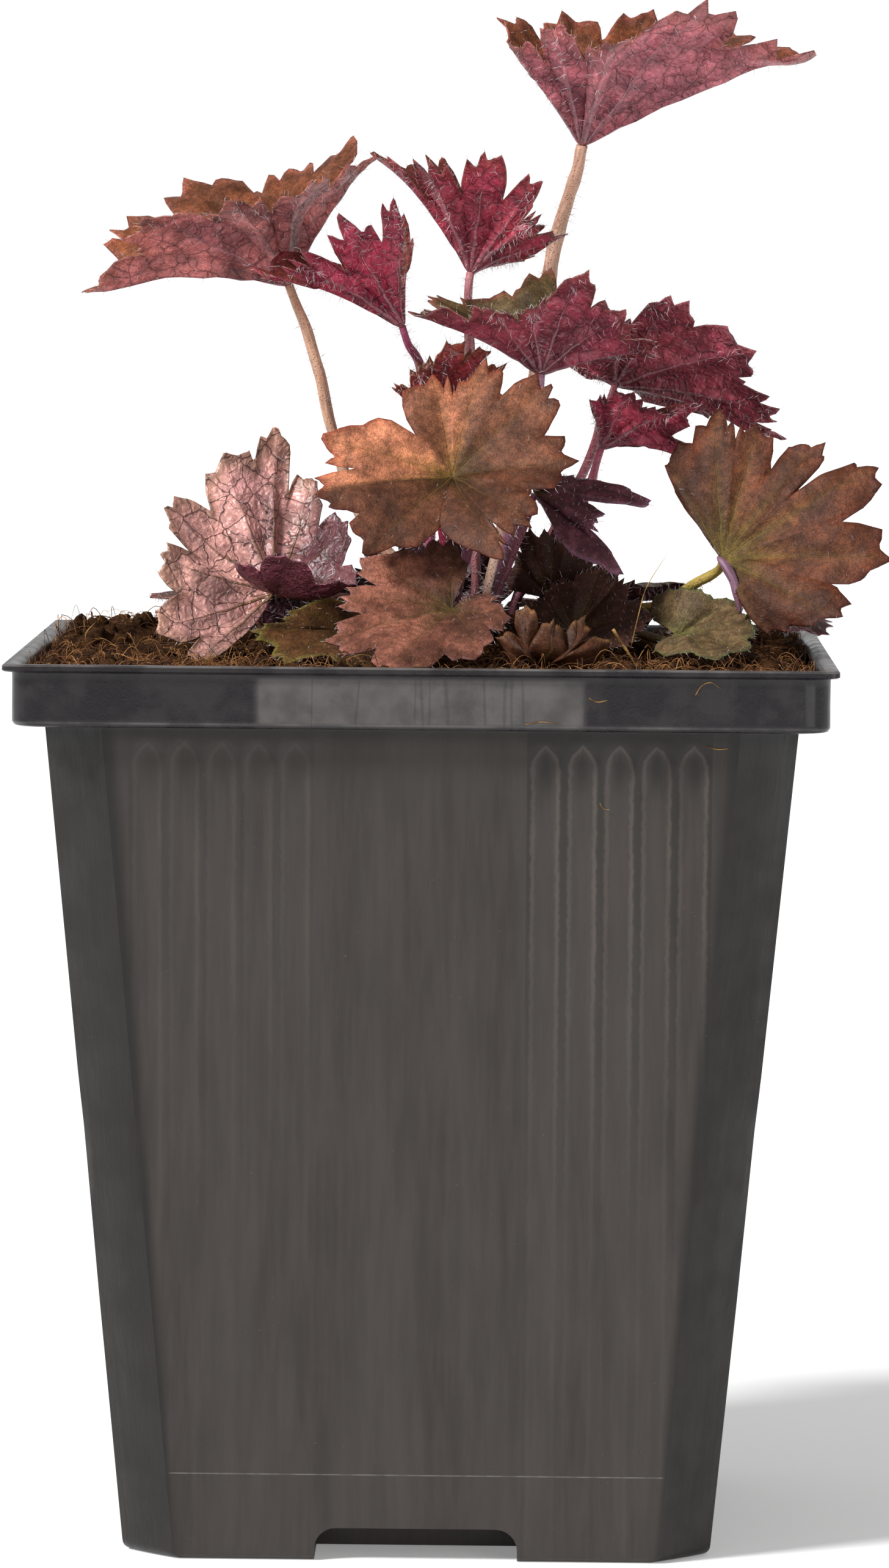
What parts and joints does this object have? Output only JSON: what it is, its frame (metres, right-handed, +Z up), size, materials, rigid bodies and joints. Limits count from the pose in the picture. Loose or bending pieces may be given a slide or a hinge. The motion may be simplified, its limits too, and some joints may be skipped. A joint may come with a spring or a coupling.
{
  "type": "potted heuchera plant",
  "caption": "Young purple-leaved heuchera with lobed, toothed leaves on slim hairy stalks, growing in a square tapered nursery pot filled with peat",
  "frame": {"origin": "middle of the pot's underside, on the plane it stands on", "axes": "+Z up, +X to the right and +Y away as the plant's front is seen"},
  "size_m": [0.0961, 0.09, 0.1718],
  "materials": {
    "pot": "moulded recycled plastic, satin, glossier on the lip",
    "soil": "moist peat with coir fibre",
    "crown": "scaly young rootstock",
    "purple_blade": "hairy, purple under, bronze above",
    "crimson_blade": "hairy, crimson",
    "bronze_blade": "satin bronze with olive middle",
    "pink_blade": "glossy quilted pink under, olive margin",
    "dark_blade": "satin dark brown",
    "brown_blade": "satin pinkish brown",
    "olive_blade": "matt olive",
    "tan_stalk": "hairy tan",
    "crimson_stalk": "hairy crimson",
    "mauve_stalk": "hairy mauve",
    "green_stalk": "yellow green",
    "brown_stalk": "red brown"
  },
  "bodies": {
    "root": {"pot": "pot", "soil": "soil", "crown": "crown", "leaf_blade_01": "purple_blade", "leaf_stalk_01": "tan_stalk", "leaf_blade_02": "purple_blade", "leaf_stalk_02": "tan_stalk", "leaf_blade_03": "crimson_blade", "leaf_stalk_03": "crimson_stalk", "leaf_blade_04": "crimson_blade", "leaf_stalk_04": "crimson_stalk", "leaf_blade_05": "purple_blade", "leaf_stalk_05": "mauve_stalk", "leaf_blade_06": "purple_blade", "leaf_stalk_06": "crimson_stalk", "leaf_blade_07": "purple_blade", "leaf_stalk_07": "crimson_stalk", "leaf_blade_08": "dark_blade", "leaf_stalk_08": "green_stalk", "leaf_blade_09": "bronze_blade", "leaf_stalk_09": "mauve_stalk", "leaf_blade_10": "pink_blade", "leaf_stalk_10": "brown_stalk", "leaf_blade_11": "brown_blade", "leaf_stalk_11": "brown_stalk", "leaf_blade_12": "olive_blade", "leaf_stalk_12": "brown_stalk", "leaf_blade_13": "olive_blade", "leaf_stalk_13": "brown_stalk", "leaf_blade_14": "dark_blade", "leaf_stalk_14": "brown_stalk", "leaf_blade_15": "dark_blade", "leaf_stalk_15": "brown_stalk", "leaf_blade_16": "purple_blade", "leaf_stalk_16": "mauve_stalk", "leaf_blade_17": "crimson_blade", "leaf_stalk_17": "crimson_stalk", "leaf_blade_18": "dark_blade", "leaf_stalk_18": "brown_stalk", "leaf_blade_19": "dark_blade", "leaf_stalk_19": "brown_stalk", "leaf_blade_20": "bronze_blade", "leaf_stalk_20": "brown_stalk", "leaf_blade_21": "olive_blade", "leaf_stalk_21": "brown_stalk"}
  },
  "joints": []
}
